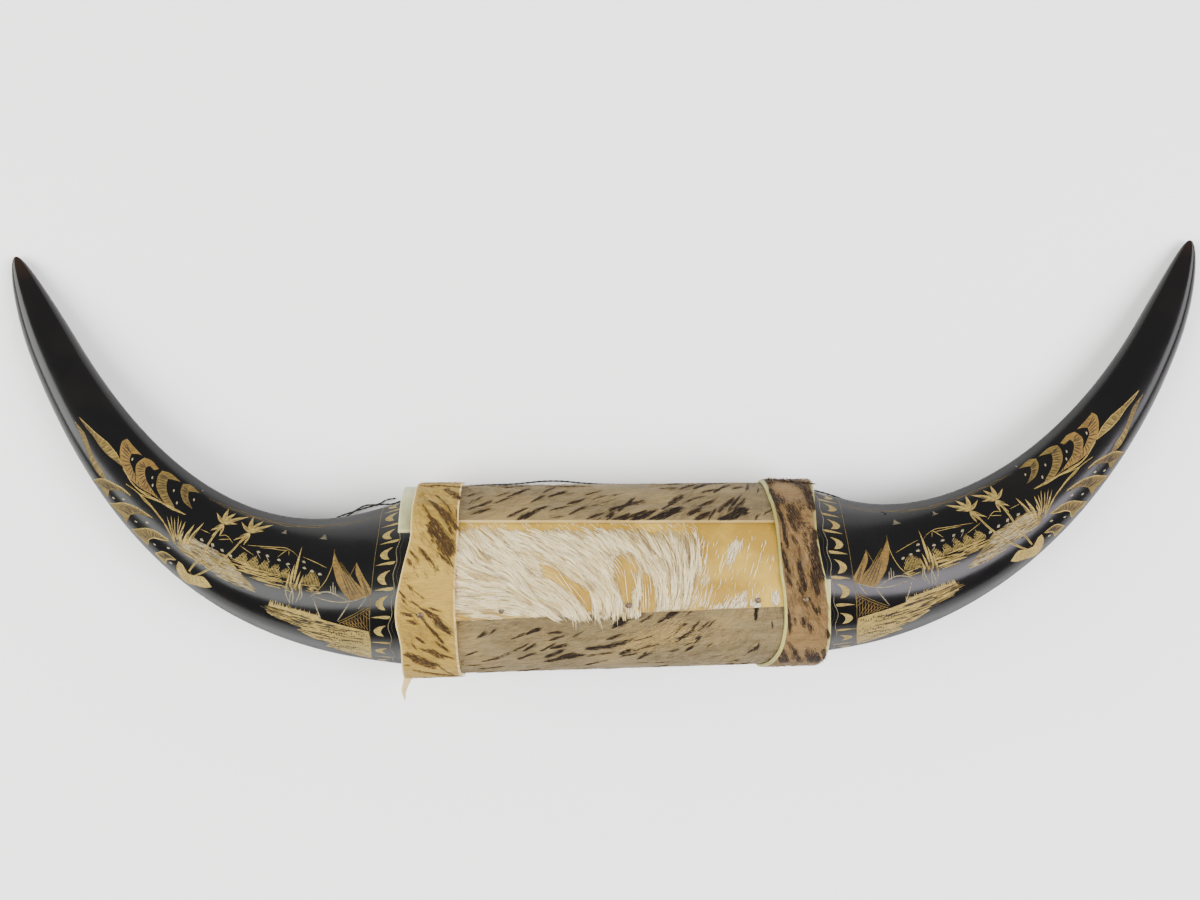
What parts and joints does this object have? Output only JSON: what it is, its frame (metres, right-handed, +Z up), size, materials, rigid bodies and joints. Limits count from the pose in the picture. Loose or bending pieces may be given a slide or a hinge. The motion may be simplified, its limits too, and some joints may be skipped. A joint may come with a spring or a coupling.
{
  "type": "mounted buffalo horns",
  "caption": "Polished black buffalo horns with engraved scenes, joined by a hide-wrapped wooden roll with hide collars and a white fur panel; a wall trophy lying on its back.",
  "frame": {"origin": "on the surface it lies on, under the middle of the box of all but the cord", "axes": "+X along the roll towards the right horn, +Y towards the horn tips, +Z up, away from the surface"},
  "size_m": [0.662, 0.2494, 0.0958],
  "materials": {
    "polished_horn": "polished black horn with pale engraved lines",
    "core_wood": "plain sawn wood",
    "brindled_hide": "short grey-tan hair with dark brown flecks",
    "white_fur": "long white hair on bare yellow hide",
    "tan_hide": "golden tan hide with brown flecks and a pale cut edge",
    "brown_hide": "brown streaked hide with a pale cut edge",
    "rawhide": "pale greenish rawhide",
    "tack_metal": "dull brown",
    "nail_steel": "plain wire nail",
    "black_twine": "thin twisted twine"
  },
  "bodies": {
    "root": {"horn_left": "polished_horn", "horn_right": "polished_horn", "wood_core": "core_wood", "hide_wrap": "brindled_hide", "fur_panel": "white_fur", "hide_collar_left": "tan_hide", "hide_collar_right": "brown_hide", "lining_strip_left": "rawhide", "lining_strip_right": "rawhide", "tack_1": "tack_metal", "tack_2": "tack_metal", "tack_3": "tack_metal", "tack_4": "tack_metal", "tack_5": "tack_metal", "cord_nail_left": "nail_steel", "cord_nail_right": "nail_steel", "hanging_cord": "black_twine"}
  },
  "joints": []
}
